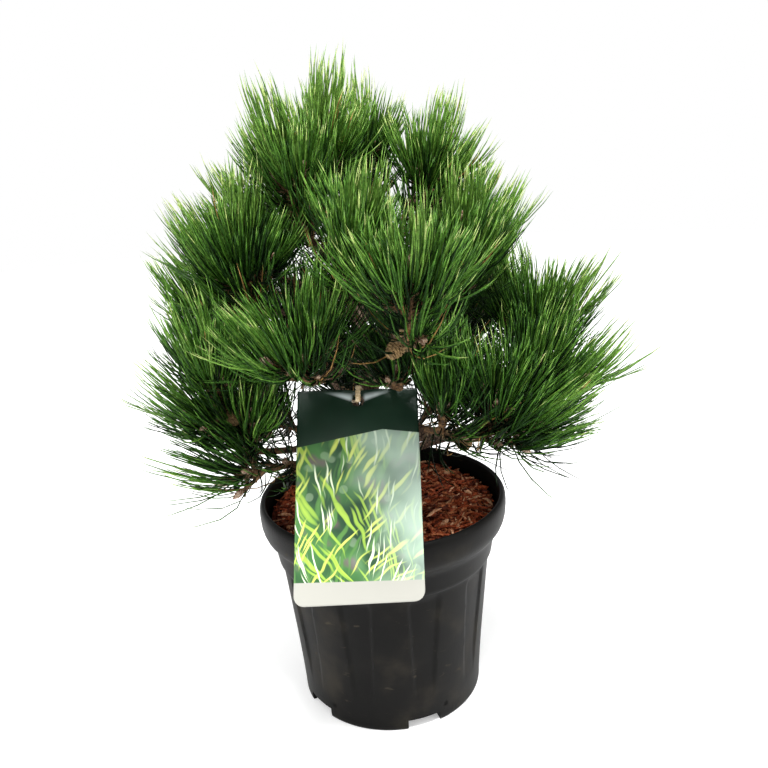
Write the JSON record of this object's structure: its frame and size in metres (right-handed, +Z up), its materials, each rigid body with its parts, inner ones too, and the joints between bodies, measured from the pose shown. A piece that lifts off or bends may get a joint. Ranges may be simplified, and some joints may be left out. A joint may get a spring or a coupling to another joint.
{
  "type": "potted dwarf bosnian pine",
  "caption": "Compact young pine with dense upswept needle brushes on short boughs round one trunk, in a fluted round nursery pot with a hanging label.",
  "frame": {"origin": "centre of the pot's flat underside, on the floor", "axes": "+Z up along the pot's axis, the label faces -Y, +X to the right of a viewer who faces the label"},
  "size_m": [0.4711, 0.4126, 0.613],
  "materials": {
    "pot_plastic": "satin black moulded plastic",
    "bark_mulch": "rough red-brown bark chips",
    "bark": "rough grey-brown bark",
    "needles": "satin green needles",
    "label_card": "glossy printed card",
    "tie_band": "matt beige band"
  },
  "bodies": {
    "root": {"pot": "pot_plastic", "soil": "bark_mulch", "trunk": "bark", "label": "label_card", "label_tie": "tie_band", "bough_top_left": "bark", "mass_top_left": "needles", "bough_top_back": "bark", "mass_top_back": "needles", "bough_top_right": "bark", "mass_top_right": "needles", "bough_high_right": "bark", "mass_high_right": "needles", "bough_high_front": "bark", "mass_high_front": "needles", "bough_high_middle": "bark", "mass_high_middle": "needles", "bough_high_left": "bark", "mass_high_left": "needles", "bough_high_back_left": "bark", "mass_high_back_left": "needles", "bough_high_back": "bark", "mass_high_back": "needles", "bough_high_back_right": "bark", "mass_high_back_right": "needles", "bough_inner_front": "bark", "mass_inner_front": "needles", "bough_left": "bark", "mass_left": "needles", "bough_front_left": "bark", "mass_front_left": "needles", "bough_front_right": "bark", "mass_front_right": "needles", "bough_right_front": "bark", "mass_right_front": "needles", "bough_right": "bark", "mass_right": "needles", "bough_back_left": "bark", "mass_back_left": "needles", "bough_back_inner": "bark", "mass_back_inner": "needles", "bough_back": "bark", "mass_back": "needles", "bough_back_right": "bark", "mass_back_right": "needles", "bough_far_left": "bark", "mass_far_left": "needles", "bough_far_right": "bark", "mass_far_right": "needles", "bough_low_left": "bark", "mass_low_left": "needles", "bough_low_right": "bark", "mass_low_right": "needles", "bough_low_back_left": "bark", "mass_low_back_left": "needles", "bough_low_back": "bark", "mass_low_back": "needles", "bough_low_back_right": "bark", "mass_low_back_right": "needles", "mass_leader": "needles"}
  },
  "joints": []
}
